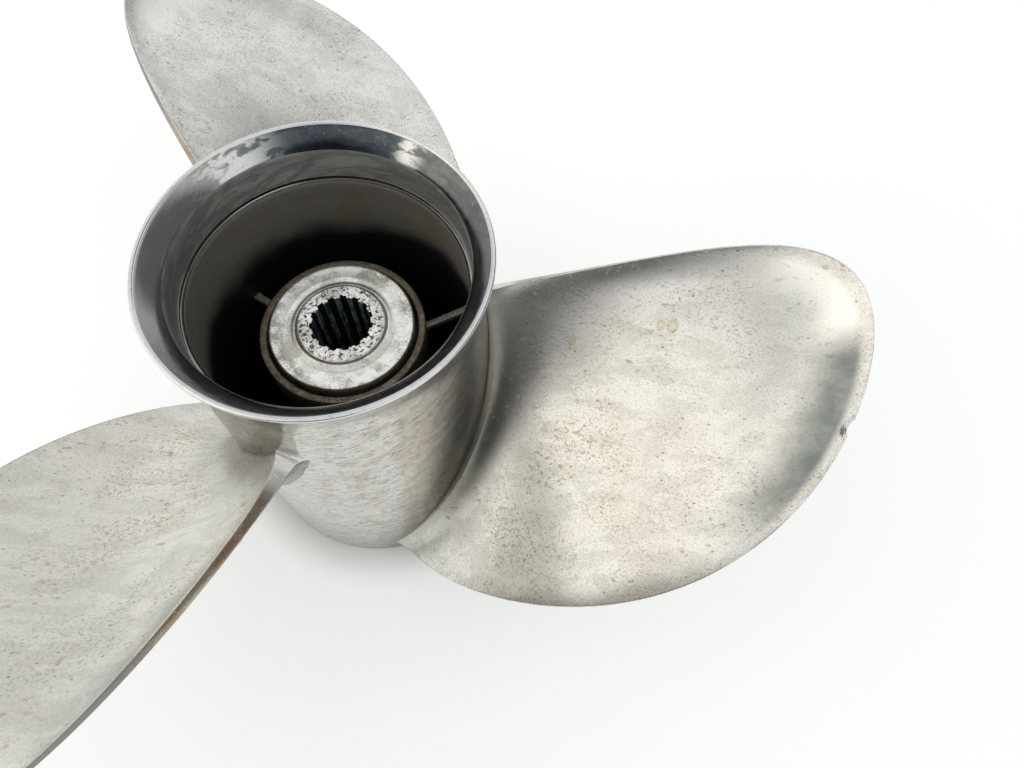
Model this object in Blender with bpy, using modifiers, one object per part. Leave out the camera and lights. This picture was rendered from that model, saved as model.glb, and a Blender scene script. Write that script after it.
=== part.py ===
"""Three-blade through-hub-exhaust boat propeller with a pressed-in rubber drive hub.

The shaft axis is Z and the aft (exhaust) end is up. The origin is on the shaft axis at the
centre of mass. Depths are measured forward (down) from the aft rim of the diffuser ring.
Angles are in degrees about +Z, and the first blade's tip points along +X.
"""

import math

import bmesh
import bpy
from mathutils import Vector

MM = 0.001

# Overall
RIM_HEIGHT = 93.1 * MM            # aft rim above the centre of mass
HUB_LENGTH = 175.4 * MM           # aft rim to forward end face
CLEARANCE = 0.3 * MM              # gap left between neighbouring pieces
TURNED_STEPS = 64                 # sides of the large turned pieces

# Barrel and diffuser ring
RIM_RADIUS = 60.5 * MM
FRONT_RADIUS = 60.4 * MM
WAIST_RADIUS = 56.2 * MM
MOUTH_RADIUS = 52.0 * MM          # bore of the ring before it flares
BARREL_WALL = 4.4 * MM
RING_DEPTH = 20.4 * MM            # joint between ring and barrel
FLARE_DEPTH = 11.7 * MM           # where the flare of the bore begins
LIP_RADIUS = 1.3 * MM             # rolled edge of the rim

# Inner hub tube and its ribs
TUBE_RADIUS = 32.75 * MM
TUBE_WALL = 3.0 * MM
TUBE_DEPTH = 49.4 * MM
TUBE_FRONT_DEPTH = 172.0 * MM
SEAT_RADIUS = 24.0 * MM           # opening of the seat at the tube's forward end
SEAT_DEPTH = 166.0 * MM
RIB_COUNT = 3
RIB_AZIMUTH = 30.85
RIB_THICKNESS = 3.2 * MM
RIB_AFT_DEPTH = 72.2 * MM
RIB_FRONT_DEPTH = 168.0 * MM

# Drive hub: rubber cushion, splined sleeve and its end disc
SLEEVE_RADIUS = 16.9 * MM
SLEEVE_AFT_DEPTH = 45.2 * MM
SLEEVE_FRONT_DEPTH = 168.0 * MM
SPLINE_COUNT = 15
SPLINE_ROOT_RADIUS = 12.45 * MM
SPLINE_TOP_RADIUS = 11.35 * MM
DISC_RADIUS = 28.45 * MM
DISC_DEPTH = 46.4 * MM
DISC_THICKNESS = 6.0 * MM
DISC_BEVEL = 0.9 * MM
GROOVE_RADIUS = 19.2 * MM
GROOVE_HALF_WIDTH = 0.7 * MM
GROOVE_DEPTH = 0.5 * MM
RUBBER_AFT_DEPTH = 53.2 * MM
RUBBER_FRONT_DEPTH = 165.0 * MM

# Blades: a raked helix, bounded by a trailing and a leading edge
BLADE_COUNT = 3
TIP_RADIUS = 196.9 * MM
TIP_ANGLE = -1.7
HELIX_DEPTH = 50.1 * MM           # depth of the face at 121 mm radius and angle 0
HELIX_RADIUS = 121.0 * MM
HELIX_RISE = 73.6 * MM            # rise per radian of angle at the helix radius
HELIX_RISE_SLOPE = -0.061         # its change per metre of radius, in metres per radian
RAKE = 0.363                      # rise of the face per unit of radius
RAKE_CURVE = 0.49                 # extra rise per square metre
CAMBER = 0.035                    # hollow of the face, as a share of the chord
FILLET_RADIUS = 6.5 * MM
LEADING_FILLET_SHARE = 0.25       # the leading edge's fillet against the trailing edge's
TRAILING_THICKNESS = (4.6 * MM, 1.9 * MM)     # at the root and at the tip
LEADING_THICKNESS = 1.5 * MM
BELLY_THICKNESS = (6.5 * MM, 2.2 * MM)        # extra thickness at mid-chord
CHORD_POINTS = 19
ROOT_GAP = 0.5 * MM               # between the barrel's facets and a blade's root
ROOT_STRIPS = 4
FILLET_ROWS = (0.0, 0.12, 0.35, 0.65, 1.0)    # rows up the fillet, as shares of its radius
BLADE_ROWS = 14
TIP_CROWDING = 2.6                # how strongly the rows crowd towards the tip


def clear_scene():
    """Removes every object that the start-up file brought."""
    for item in list(bpy.data.objects):
        bpy.data.objects.remove(item, do_unlink=True)


def make_collection(name):
    collection = bpy.data.collections.new(name)
    bpy.context.scene.collection.children.link(collection)
    return collection


def material(name, colour, roughness, metallic):
    """A Principled material in one linear colour."""
    made = bpy.data.materials.new(name)
    made.use_nodes = True
    shader = made.node_tree.nodes["Principled BSDF"]
    shader.inputs["Base Color"].default_value = (*colour, 1.0)
    shader.inputs["Roughness"].default_value = roughness
    shader.inputs["Metallic"].default_value = metallic
    return made


def add_object(name, data, collection, finish, parent):
    """Links a mesh or curve under a name, with its material and parent."""
    made = bpy.data.objects.new(name, data)
    made.data.materials.append(finish)
    collection.objects.link(made)
    made.parent = parent
    return made


def add_empty(name, collection):
    made = bpy.data.objects.new(name, None)
    collection.objects.link(made)
    return made


def level(depth):
    """The height of a plane at a depth below the aft rim."""
    return RIM_HEIGHT - depth


def arc(centre, radius, start, end, steps):
    """Points on an arc of a profile, as (radius, depth); the angle turns from outward to aft."""
    points = []
    for step in range(steps + 1):
        angle = math.radians(start + (end - start) * step / steps)
        points.append((centre[0] + radius * math.cos(angle), centre[1] - radius * math.sin(angle)))
    return points


def turned(name, profile, collection, finish, parent, steps=TURNED_STEPS):
    """A ring turned about Z from a closed profile of (radius, depth), outer side first."""
    points = [(radius, 0.0, level(depth)) for radius, depth in profile]
    edges = [(index, (index + 1) % len(points)) for index in range(len(points))]
    mesh = bpy.data.meshes.new(name)
    mesh.from_pydata(points, edges, [])
    made = add_object(name, mesh, collection, finish, parent)
    screw = made.modifiers.new("turn", "SCREW")
    screw.axis = "Z"
    screw.angle = math.tau
    screw.steps = steps
    screw.render_steps = steps
    screw.use_merge_vertices = True
    screw.merge_threshold = 0.00001
    screw.use_smooth_shade = True
    return made


def barrel_radius(depth):
    """Outer radius of the barrel: it narrows gently from the forward end to the waist."""
    share = (HUB_LENGTH - depth) / (HUB_LENGTH - RING_DEPTH)
    return FRONT_RADIUS - (FRONT_RADIUS - WAIST_RADIUS) * max(0.0, share) ** 1.7


def make_barrel(collection, finish, parent):
    """Outer shell from the ring joint to the forward end face."""
    top = RING_DEPTH + CLEARANCE
    depths = [top + (HUB_LENGTH - top) * step / 7 for step in range(8)]
    profile = [(barrel_radius(depth), depth) for depth in depths]
    profile += [(barrel_radius(depth) - BARREL_WALL, depth) for depth in reversed(depths)]
    return turned("hub_barrel", profile, collection, finish, parent)


def flare(base, rim, depth):
    """Radius of a flare that leaves the base tangentially and reaches the rim radius."""
    share = max(0.0, (FLARE_DEPTH - depth) / FLARE_DEPTH)
    return base + (rim - base) * share ** 1.6


def make_diffuser_ring(collection, finish, parent):
    """Flared aft ring with a rolled lip and a short straight mouth."""
    lip_centre = (RIM_RADIUS - LIP_RADIUS, LIP_RADIUS)
    outer_depths = (3.5 * MM, 6.0 * MM, 9.0 * MM, 13.0 * MM, RING_DEPTH)
    start_radius = RIM_RADIUS - 0.5 * MM
    profile = arc(lip_centre, LIP_RADIUS, 150, -20, 5)
    for depth in outer_depths:
        share = max(0.0, 1.0 - (depth - 3.0 * MM) / (RING_DEPTH - 3.0 * MM))
        profile.append((WAIST_RADIUS + (start_radius - WAIST_RADIUS) * share ** 1.8, depth))
    profile.append((MOUTH_RADIUS, RING_DEPTH))
    for depth in (FLARE_DEPTH, 9.0 * MM, 6.0 * MM, 3.0 * MM):
        profile.append((flare(MOUTH_RADIUS, RIM_RADIUS - 2.6 * MM, depth), depth))
    return turned("diffuser_ring", profile, collection, finish, parent)


def make_inner_tube(collection, finish, parent):
    """Tube that holds the rubber, with a narrower seat at its forward end."""
    bore = TUBE_RADIUS - TUBE_WALL
    chamfer = 0.6 * MM
    profile = [
        (TUBE_RADIUS - chamfer, TUBE_DEPTH),
        (TUBE_RADIUS, TUBE_DEPTH + chamfer),
        (TUBE_RADIUS, TUBE_FRONT_DEPTH),
        (SEAT_RADIUS, TUBE_FRONT_DEPTH),
        (SEAT_RADIUS, SEAT_DEPTH),
        (bore, SEAT_DEPTH),
        (bore, TUBE_DEPTH + chamfer),
        (bore + chamfer, TUBE_DEPTH),
    ]
    return turned("inner_hub_tube", profile, collection, finish, parent)


def make_ribs(collection, finish, parent):
    """Radial plates from the inner tube to the barrel, which widen with the barrel's bore."""
    for index in range(RIB_COUNT):
        mesh = bpy.data.meshes.new(f"hub_rib_{index + 1}")
        shape = bmesh.new()
        bmesh.ops.create_cube(shape, size=1.0)
        for vertex in shape.verts:
            depth = RIB_AFT_DEPTH if vertex.co.z > 0 else RIB_FRONT_DEPTH
            outer = barrel_radius(depth) - BARREL_WALL - 2 * CLEARANCE
            inner = TUBE_RADIUS + CLEARANCE
            vertex.co.x = outer if vertex.co.x > 0 else inner
            vertex.co.y *= RIB_THICKNESS
            vertex.co.z = level(depth)
        shape.to_mesh(mesh)
        shape.free()
        rib = add_object(mesh.name, mesh, collection, finish, parent)
        rib.rotation_euler.z = math.radians(RIB_AZIMUTH + 360.0 * index / RIB_COUNT)


def make_rubber(collection, finish, parent):
    """Cushion between the splined sleeve and the inner tube."""
    outer = TUBE_RADIUS - TUBE_WALL - CLEARANCE
    inner = SLEEVE_RADIUS + CLEARANCE
    profile = [
        (outer, RUBBER_AFT_DEPTH),
        (outer, RUBBER_FRONT_DEPTH),
        (inner, RUBBER_FRONT_DEPTH),
        (inner, RUBBER_AFT_DEPTH),
    ]
    return turned("rubber_cushion", profile, collection, finish, parent)


def circle_points(radius, count):
    turns = [math.tau * index / count for index in range(count)]
    return [(radius * math.cos(turn), radius * math.sin(turn)) for turn in turns]


def spline_points():
    """The bore outline: flat-topped teeth between grooves, both wider at their roots."""
    points = []
    pitch = math.tau / SPLINE_COUNT
    corners = (
        (-0.30, SPLINE_TOP_RADIUS),
        (-0.20, SPLINE_ROOT_RADIUS),
        (0.20, SPLINE_ROOT_RADIUS),
        (0.30, SPLINE_TOP_RADIUS),
    )
    for tooth in range(SPLINE_COUNT):
        for share, radius in corners:
            turn = (tooth + share) * pitch
            points.append((radius * math.cos(turn), radius * math.sin(turn)))
    return points


def make_sleeve(collection, finish, parent):
    """Steel sleeve with internal splines, an outline with a hole, extruded along the axis."""
    curve = bpy.data.curves.new("splined_sleeve", "CURVE")
    curve.dimensions = "2D"
    curve.fill_mode = "BOTH"
    curve.extrude = (SLEEVE_FRONT_DEPTH - SLEEVE_AFT_DEPTH) / 2
    for outline in (circle_points(SLEEVE_RADIUS, 60), spline_points()):
        spline = curve.splines.new("POLY")
        spline.points.add(len(outline) - 1)
        for point, (x, y) in zip(spline.points, outline):
            point.co = (x, y, 0.0, 1.0)
        spline.use_cyclic_u = True
    sleeve = add_object("splined_sleeve", curve, collection, finish, parent)
    sleeve.location.z = level((SLEEVE_AFT_DEPTH + SLEEVE_FRONT_DEPTH) / 2)
    return sleeve


def make_disc(collection, finish, parent):
    """Flanged end disc round the sleeve, with a turned groove in its aft face."""
    inner = SLEEVE_RADIUS + CLEARANCE
    bottom = DISC_DEPTH + DISC_THICKNESS
    profile = [
        (DISC_RADIUS - DISC_BEVEL, DISC_DEPTH),
        (DISC_RADIUS, DISC_DEPTH + DISC_BEVEL),
        (DISC_RADIUS, bottom),
        (inner, bottom),
        (inner, DISC_DEPTH),
        (GROOVE_RADIUS - GROOVE_HALF_WIDTH, DISC_DEPTH),
        (GROOVE_RADIUS, DISC_DEPTH + GROOVE_DEPTH),
        (GROOVE_RADIUS + GROOVE_HALF_WIDTH, DISC_DEPTH),
    ]
    return turned("sleeve_end_disc", profile, collection, finish, parent)


def edge_angles(radius):
    """Angles of the trailing and the leading edge at a radius."""
    share = min(1.0, max(0.0, (radius - RIM_RADIUS) / (TIP_RADIUS - RIM_RADIUS)))
    aft_reach = 21.2 - 12.8 * share + 7.5 * share ** 2
    forward_reach = 70.3 - 51.1 * share + 35.2 * share ** 2
    trailing = TIP_ANGLE + aft_reach * (1.0 - share ** 3.55) ** 0.367
    leading = TIP_ANGLE - forward_reach * (1.0 - share ** 1.93) ** 0.62
    return trailing, leading


def face_depth(radius, angle):
    """Depth of the raked helix that both edges lie on."""
    out = radius - HELIX_RADIUS
    rise = (HELIX_RISE + HELIX_RISE_SLOPE * out) * math.radians(angle)
    return HELIX_DEPTH - rise - RAKE * out - RAKE_CURVE * out ** 2


def blade_point(share, radius, side, swell):
    """One point of a cylindrical section: side +1 is the aft face, -1 the back."""
    trailing, leading = edge_angles(radius)
    reach = min(1.0, max(0.0, (radius - RIM_RADIUS) / (TIP_RADIUS - RIM_RADIUS)))
    angle = trailing + (leading - trailing) * share
    chord_run = radius * math.radians(trailing - leading)
    rise = HELIX_RISE + HELIX_RISE_SLOPE * (radius - HELIX_RADIUS)
    slope = math.atan2(rise, radius)
    hollow = CAMBER * chord_run / math.cos(slope) * 4.0 * share * (1.0 - share)
    edge = TRAILING_THICKNESS[0] + (TRAILING_THICKNESS[1] - TRAILING_THICKNESS[0]) * reach
    belly = BELLY_THICKNESS[0] + (BELLY_THICKNESS[1] - BELLY_THICKNESS[0]) * reach
    thickness = edge + (LEADING_THICKNESS - edge) * share + belly * math.sin(math.pi * share)
    normal = -hollow if side > 0 else -hollow - thickness
    normal += swell * side
    along = swell * (share * (1.0 + LEADING_FILLET_SHARE) - 1.0)
    across = -normal * math.sin(slope) - along * math.cos(slope)
    up = normal * math.cos(slope) - along * math.sin(slope)
    turn = math.radians(angle) + across / radius
    height = level(face_depth(radius, angle)) + up
    return Vector((radius * math.cos(turn), radius * math.sin(turn), height))


def fillet_swell(distance):
    """How far a section spreads at a distance from the barrel."""
    inside = max(0.0, FILLET_RADIUS - distance)
    return FILLET_RADIUS - math.sqrt(FILLET_RADIUS ** 2 - inside ** 2)


def root_radius(share, side):
    """Radius of a point of the root, which follows the barrel as it widens forward."""
    radius = RIM_RADIUS
    for _ in range(4):
        point = blade_point(share, radius, side, FILLET_RADIUS)
        radius = barrel_radius(RIM_HEIGHT - point.z) + ROOT_GAP
    return radius


def blade_vertex(share, distance, side):
    """A point at a distance from the barrel, on the aft face or the back."""
    root = root_radius(share, side)
    radius = root + (TIP_RADIUS - root) * distance / (TIP_RADIUS - RIM_RADIUS)
    return blade_point(share, radius, side, fillet_swell(distance))


def blade_rows():
    """Distances of the section rows from the barrel, close together at the root and the tip."""
    rows = [FILLET_RADIUS * share for share in FILLET_ROWS]
    span = TIP_RADIUS - RIM_RADIUS - FILLET_RADIUS
    for row in range(1, BLADE_ROWS + 1):
        left = 1.0 - row / (BLADE_ROWS + 0.5)
        rows.append(FILLET_RADIUS + span * (1.0 - left ** TIP_CROWDING))
    return rows


def chord_shares():
    """Places along the chord, closer together at both edges."""
    last = CHORD_POINTS - 1
    return [0.5 - 0.5 * math.cos(math.pi * index / last) for index in range(CHORD_POINTS)]


def blade_mesh(name):
    """Lofts the sections: the aft face, the back, both edges, the root and the tip."""
    shape = bmesh.new()
    shares = chord_shares()
    grids = []
    for side in (1, -1):
        grid = []
        for distance in blade_rows():
            row = [shape.verts.new(blade_vertex(share, distance, side)) for share in shares]
            grid.append(row)
        grids.append(grid)
    face, back = grids
    for low, high in zip(face, face[1:]):
        strip(shape, low, high)
    for low, high in zip(back, back[1:]):
        strip(shape, high, low)
    strip(shape, [row[0] for row in back], [row[0] for row in face])
    strip(shape, [row[-1] for row in face], [row[-1] for row in back])
    strip(shape, face[-1], back[-1])
    close_root(shape, shares, face[0], back[0])
    bmesh.ops.recalc_face_normals(shape, faces=shape.faces)
    mesh = bpy.data.meshes.new(name)
    shape.to_mesh(mesh)
    shape.free()
    mesh.shade_smooth()
    mesh.set_sharp_from_angle(angle=math.radians(40.0))
    return mesh


def root_point(share, across):
    """A point of the root, on the barrel's curve, at a share of the way from face to back."""
    face = blade_vertex(share, 0.0, 1)
    back = blade_vertex(share, 0.0, -1)
    point = face.lerp(back, across)
    radius = barrel_radius(RIM_HEIGHT - point.z) + ROOT_GAP
    turn = math.atan2(point.y, point.x)
    return Vector((radius * math.cos(turn), radius * math.sin(turn), point.z))


def close_root(shape, shares, face_row, back_row):
    """Closes the root with rows that follow the barrel, so that it stays clear of it."""
    rows = [face_row]
    for step in range(1, ROOT_STRIPS):
        across = step / ROOT_STRIPS
        rows.append([shape.verts.new(root_point(share, across)) for share in shares])
    rows.append(back_row)
    for near, far in zip(rows, rows[1:]):
        strip(shape, far, near)
    shape.faces.new([row[0] for row in rows])
    shape.faces.new([row[-1] for row in reversed(rows)])


def strip(shape, low, high):
    """Quads between two rows of vertices."""
    for index in range(len(low) - 1):
        shape.faces.new((low[index], low[index + 1], high[index + 1], high[index]))


def make_blades(collection, finish, parent):
    mesh = blade_mesh("blade")
    for index in range(BLADE_COUNT):
        blade = bpy.data.objects.new(f"blade_{index + 1}", mesh)
        collection.objects.link(blade)
        blade.parent = parent
        blade.rotation_euler.z = math.tau * index / BLADE_COUNT
    mesh.materials.append(finish)


def main():
    clear_scene()
    collection = make_collection("boat_propeller")
    body = add_empty("propeller_body", collection)
    drive = add_empty("drive_sleeve_pivot", collection)
    stainless = material("weathered_stainless", (0.42, 0.41, 0.38), 0.34, 1.0)
    polished = material("polished_stainless", (0.55, 0.56, 0.57), 0.14, 1.0)
    bore_steel = material("dark_cast_stainless", (0.16, 0.14, 0.12), 0.5, 1.0)
    rusty = material("rusty_stainless", (0.20, 0.15, 0.10), 0.55, 0.9)
    bright = material("silvery_plated_steel", (0.60, 0.60, 0.58), 0.38, 1.0)
    oxide = material("oxidised_spline_steel", (0.13, 0.14, 0.14), 0.45, 1.0)
    rubber = material("black_rubber", (0.012, 0.012, 0.012), 0.75, 0.0)
    make_barrel(collection, stainless, body)
    make_diffuser_ring(collection, polished, body)
    make_inner_tube(collection, rusty, body)
    make_ribs(collection, bore_steel, body)
    make_blades(collection, stainless, body)
    make_rubber(collection, rubber, body)
    make_sleeve(collection, oxide, drive)
    make_disc(collection, bright, drive)


main()
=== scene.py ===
"""Looks of a three-blade stainless outboard propeller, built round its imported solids.

The shaft axis is Z, with the aft (exhaust) end up. Depths are measured forward, which is down,
from the aft rim. Angles are in degrees about +Z, and the first blade's tip points along +X.
Lengths are in metres.
"""

import math

import bmesh
import bpy
from mathutils import Matrix, Vector, kdtree


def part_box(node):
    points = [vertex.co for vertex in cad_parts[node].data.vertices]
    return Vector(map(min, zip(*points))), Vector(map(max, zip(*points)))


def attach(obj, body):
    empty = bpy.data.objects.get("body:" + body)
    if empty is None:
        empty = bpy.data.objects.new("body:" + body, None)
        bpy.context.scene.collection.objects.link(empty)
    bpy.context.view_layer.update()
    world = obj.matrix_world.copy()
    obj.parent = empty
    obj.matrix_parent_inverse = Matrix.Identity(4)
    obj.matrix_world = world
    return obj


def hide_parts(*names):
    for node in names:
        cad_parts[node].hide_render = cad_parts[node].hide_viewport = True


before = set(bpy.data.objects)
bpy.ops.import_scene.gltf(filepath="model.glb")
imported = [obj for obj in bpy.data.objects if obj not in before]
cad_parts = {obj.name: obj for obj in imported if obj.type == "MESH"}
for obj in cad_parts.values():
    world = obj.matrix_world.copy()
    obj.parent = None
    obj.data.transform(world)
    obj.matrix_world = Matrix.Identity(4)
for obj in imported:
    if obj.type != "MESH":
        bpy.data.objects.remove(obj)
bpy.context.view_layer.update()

MM = 0.001

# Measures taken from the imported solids
RIM_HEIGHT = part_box("diffuser_ring")[1].z
FLOOR_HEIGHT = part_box("hub_barrel")[0].z


def extent(node):
    """Outer radius of a turned node, and the depths of its aft and forward ends."""
    low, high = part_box(node)
    return high.x, RIM_HEIGHT - high.z, RIM_HEIGHT - low.z


RIM_RADIUS = extent("diffuser_ring")[0]
FRONT_RADIUS, _, HUB_LENGTH = extent("hub_barrel")
TUBE_RADIUS, TUBE_DEPTH, TUBE_FRONT_DEPTH = extent("inner_hub_tube")
DISC_RADIUS, DISC_DEPTH, DISC_FRONT_DEPTH = extent("sleeve_end_disc")
SLEEVE_RADIUS, SLEEVE_DEPTH, SLEEVE_FRONT_DEPTH = extent("splined_sleeve")
RUBBER_RADIUS, RUBBER_DEPTH, RUBBER_FRONT_DEPTH = extent("rubber_cushion")

# Barrel and flared ring
TURNED_STEPS = 288
WAIST_RADIUS = 56.2 * MM
BARREL_WALL = 4.4 * MM
BARREL_TAPER = 1.7                # power by which the barrel narrows to the waist
FRONT_ROUNDING = 1.0 * MM
FRONT_CHAMFER = 0.5 * MM
RING_DEPTH = 20.4 * MM
RING_TOP = 1.2 * MM
RING_INSET = 0.2 * MM
RING_TAPER = 1.8
FLARE_DEPTH = 9.0 * MM
FLARE_INSET = 1.3 * MM            # how far inside the rim the flare ends
FLARE_CURVE = 1.6
MOUTH_RADIUS = 52.0 * MM
LIP_RADIUS = 0.8 * MM
LIP_START, LIP_END = 150.0, -25.0  # angles of the lip's arc, from inside to outside
LEDGE_RADIUS = 50.9 * MM          # bore of the barrel just below the ring
LEDGE_DEPTH = 21.2 * MM
BORE_DEPTH = 29.5 * MM            # where the even wall of the barrel starts
SOOT_SHADE_DEPTH = 50.0 * MM            # where the soot and painted shade in the bore start
GRIME_SHADE_PHASE = 1.30                # radians from the edge of the grime and painted shade to the first blade
GRIME_SHADE_START, GRIME_SHADE_END = (0.10, 0.60), (1.15, 1.40)

# Inner tube, ribs and drive hub
TUBE_WALL = 3.0 * MM
TUBE_SEAT_RADIUS = 24.0 * MM
TUBE_SEAT_DEPTH = 166.0 * MM
TUBE_ROUNDING = 0.9 * MM
RIB_COUNT = 3
RIB_AZIMUTH = 30.85
RIB_THICKNESS = 3.2 * MM
RIB_AFT_DEPTH = 72.2 * MM
RIB_FRONT_DEPTH = 168.0 * MM
RIB_FILLET = 0.7 * MM
RIB_BEVEL = 0.7 * MM
RIB_SINK = 0.5 * MM               # how far a rib reaches into the tube and the barrel
RUBBER_GAP = 0.2 * MM
RUBBER_DIP = 1.2 * MM             # how far the rims of its bulging ends lie back
SPLINE_COUNT = 15
SPLINE_ROOT_RADIUS = 12.45 * MM
SPLINE_TOP_RADIUS = 11.35 * MM
SPLINE_CHAMFER = 0.2 * MM
SPLINE_STEPS = 3
# Corners of a groove as shares of the pitch, and whether each is at its root
SPLINE_CORNERS = ((-0.295, False), (-0.205, True), (0.205, True), (0.295, False))
SLEEVE_CHAMFER = 0.15 * MM
DISC_ROUNDING = 0.9 * MM
DISC_CHAMFER = 0.4 * MM
DISC_LAP = 0.05 * MM              # how far the disc's bore reaches into the sleeve
DISC_DROP = 0.04 * MM             # how far its boss lies below the sleeve's end
DISC_SWELL = 0.10 * MM
BOSS_INSET = 0.06 * MM
BOSS_SLOPE = 1.4 * MM             # width of the soft step from the boss down to the disc
DISC_PITTED = (15.8 * MM, 17.8 * MM)    # radii between which the disc's pits end
DISC_WORN = (22.0 * MM, 26.0 * MM)      # radii between which its worn rim starts
GROOVE_RADIUS = 20.2 * MM
GROOVE_REACH = 1.7 * MM
GROOVE_DEPTH = 0.32 * MM

# Blades
BLADE_COUNT = 3
TIP_RADIUS = 196.9 * MM
TIP_ANGLE = -1.7
# How far each edge lies from the tip's angle, as a square polynomial of the share of the way
# from the barrel to the tip, and the two powers by which it closes at the tip
TRAILING_OUTLINE = ((21.2, -12.8, 7.5), 3.55, 0.367)
LEADING_OUTLINE = ((-70.3, 51.1, -35.2), 1.93, 0.62)
OUTLINE_STEPS = 400
HELIX_DEPTH = 50.1 * MM
HELIX_RADIUS = 121.0 * MM
HELIX_RISE = 73.6 * MM
HELIX_RISE_SLOPE = -0.061
RAKE = 0.363
RAKE_CURVE = 0.49
CAMBER = 0.012
EDGE_FILLET = 6.5 * MM            # fillet at the root of the trailing edge
LEADING_FILLET_SHARE = 0.25
FACE_SLIDE_LOSS = 0.24            # how much less the edge fillet spreads at the face than at mid
# Fillets at the trailing edge, at FILLET_MIDDLE along the chord and at the leading edge
FILLET_MIDDLE = 0.3
FACE_FILLET = (5.0 * MM, 9.5 * MM, 4.5 * MM)     # height up the barrel
FACE_REACH = (25.0 * MM, 27.0 * MM, 9.0 * MM)    # reach out along the face
BACK_FILLET = (2.6 * MM, 5.0 * MM, 3.5 * MM)
ROOT_REACH = 27.0 * MM
ROOT_SINK = 1.2 * MM              # how far the root reaches into the barrel's wall
TRAILING_THICKNESS = (4.6 * MM, 1.9 * MM)
LEADING_THICKNESS = 1.5 * MM
BELLY_THICKNESS = (6.5 * MM, 2.2 * MM)
CHORD_STEPS = 56
EDGE_STEPS = 4
FILLET_STEPS = 24
FILLET_CROWDING = 1.9
BLADE_STEPS = 84
TIP_CROWDING = 2.2
FOLLOW_STEP = 0.05 * MM           # fineness with which the root rows follow the barrel
# The face sinks inside a raised rim: depth of the sink and the distance over which it sinks
TRAILING_CURL = (2.0 * MM, 4.2 * MM)
TIP_CURL = (3.8 * MM, 12.0 * MM)
LEADING_CURL = (1.8 * MM, 8.0 * MM)
LEAST_CURL_REACH = 3.0 * MM
NICK_PLACE = (193.6 * MM, math.radians(-10.1))   # radius and angle of a nick in the outer edge
NICK_SIZE = 3.0 * MM
NICK_DEPTH = 1.6 * MM
NICK_BLUNTNESS = 0.7

# Stage
FLOOR_GLOW = 0.34                 # light that the pale floor gives back by itself
FLOOR_REACH = 3.0
FLOOR_STEPS = 24

# Camera
CAMERA_PLACE = (0.0686, -0.1342, 0.2867)
CAMERA_PITCH = 1.128              # radians below the horizon
CAMERA_ROLL = 0.0747
LENS = 24.51


# ---------------------------------------------------------------- node materials

# Values between which nearly all of a noise lies
NOISE_RANGE = (0.3, 0.7)

# Sockets of a Mix node that carry colours
MIX_FIRST, MIX_SECOND, MIX_RESULT = 6, 7, 2


class Nodes:
    """Builds a node tree step by step; values may be numbers, colours or sockets."""

    def __init__(self, tree):
        self.tree = tree

    def add(self, kind, inputs=(), **settings):
        """A new node with its inputs, by name or by place, linked or set."""
        made = self.tree.nodes.new(kind)
        for key, value in settings.items():
            setattr(made, key, value)
        self.plug(made, inputs)
        return made

    def plug(self, node, inputs):
        for key, value in inputs.items() if isinstance(inputs, dict) else enumerate(inputs):
            socket = node.inputs[key]
            if isinstance(value, bpy.types.NodeSocket):
                self.tree.links.new(value, socket)
            else:
                socket.default_value = (*value, 1.0) if socket.type == "RGBA" else value

    def maths(self, operation, first, second=0.0, third=0.0):
        return self.add("ShaderNodeMath", (first, second, third), operation=operation).outputs[0]

    def product(self, *values):
        total = values[0]
        for value in values[1:]:
            total = self.maths("MULTIPLY", total, value)
        return total

    def fade(self, value, low, high, start=0.0, end=1.0):
        """Maps a range to another with a smooth step, clamped at both ends."""
        made = self.add("ShaderNodeMapRange", (value, low, high, start, end),
                        interpolation_type="SMOOTHSTEP")
        return made.outputs[0]

    def follow(self, noise, low, high):
        """A value that follows a noise from one end to the other."""
        return self.fade(noise, *NOISE_RANGE, low, high)

    def mix(self, share, first, second, mode="MIX"):
        made = self.add("ShaderNodeMix", data_type="RGBA", blend_type=mode)
        self.plug(made, {0: share, MIX_FIRST: first, MIX_SECOND: second})
        return made.outputs[MIX_RESULT]


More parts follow.
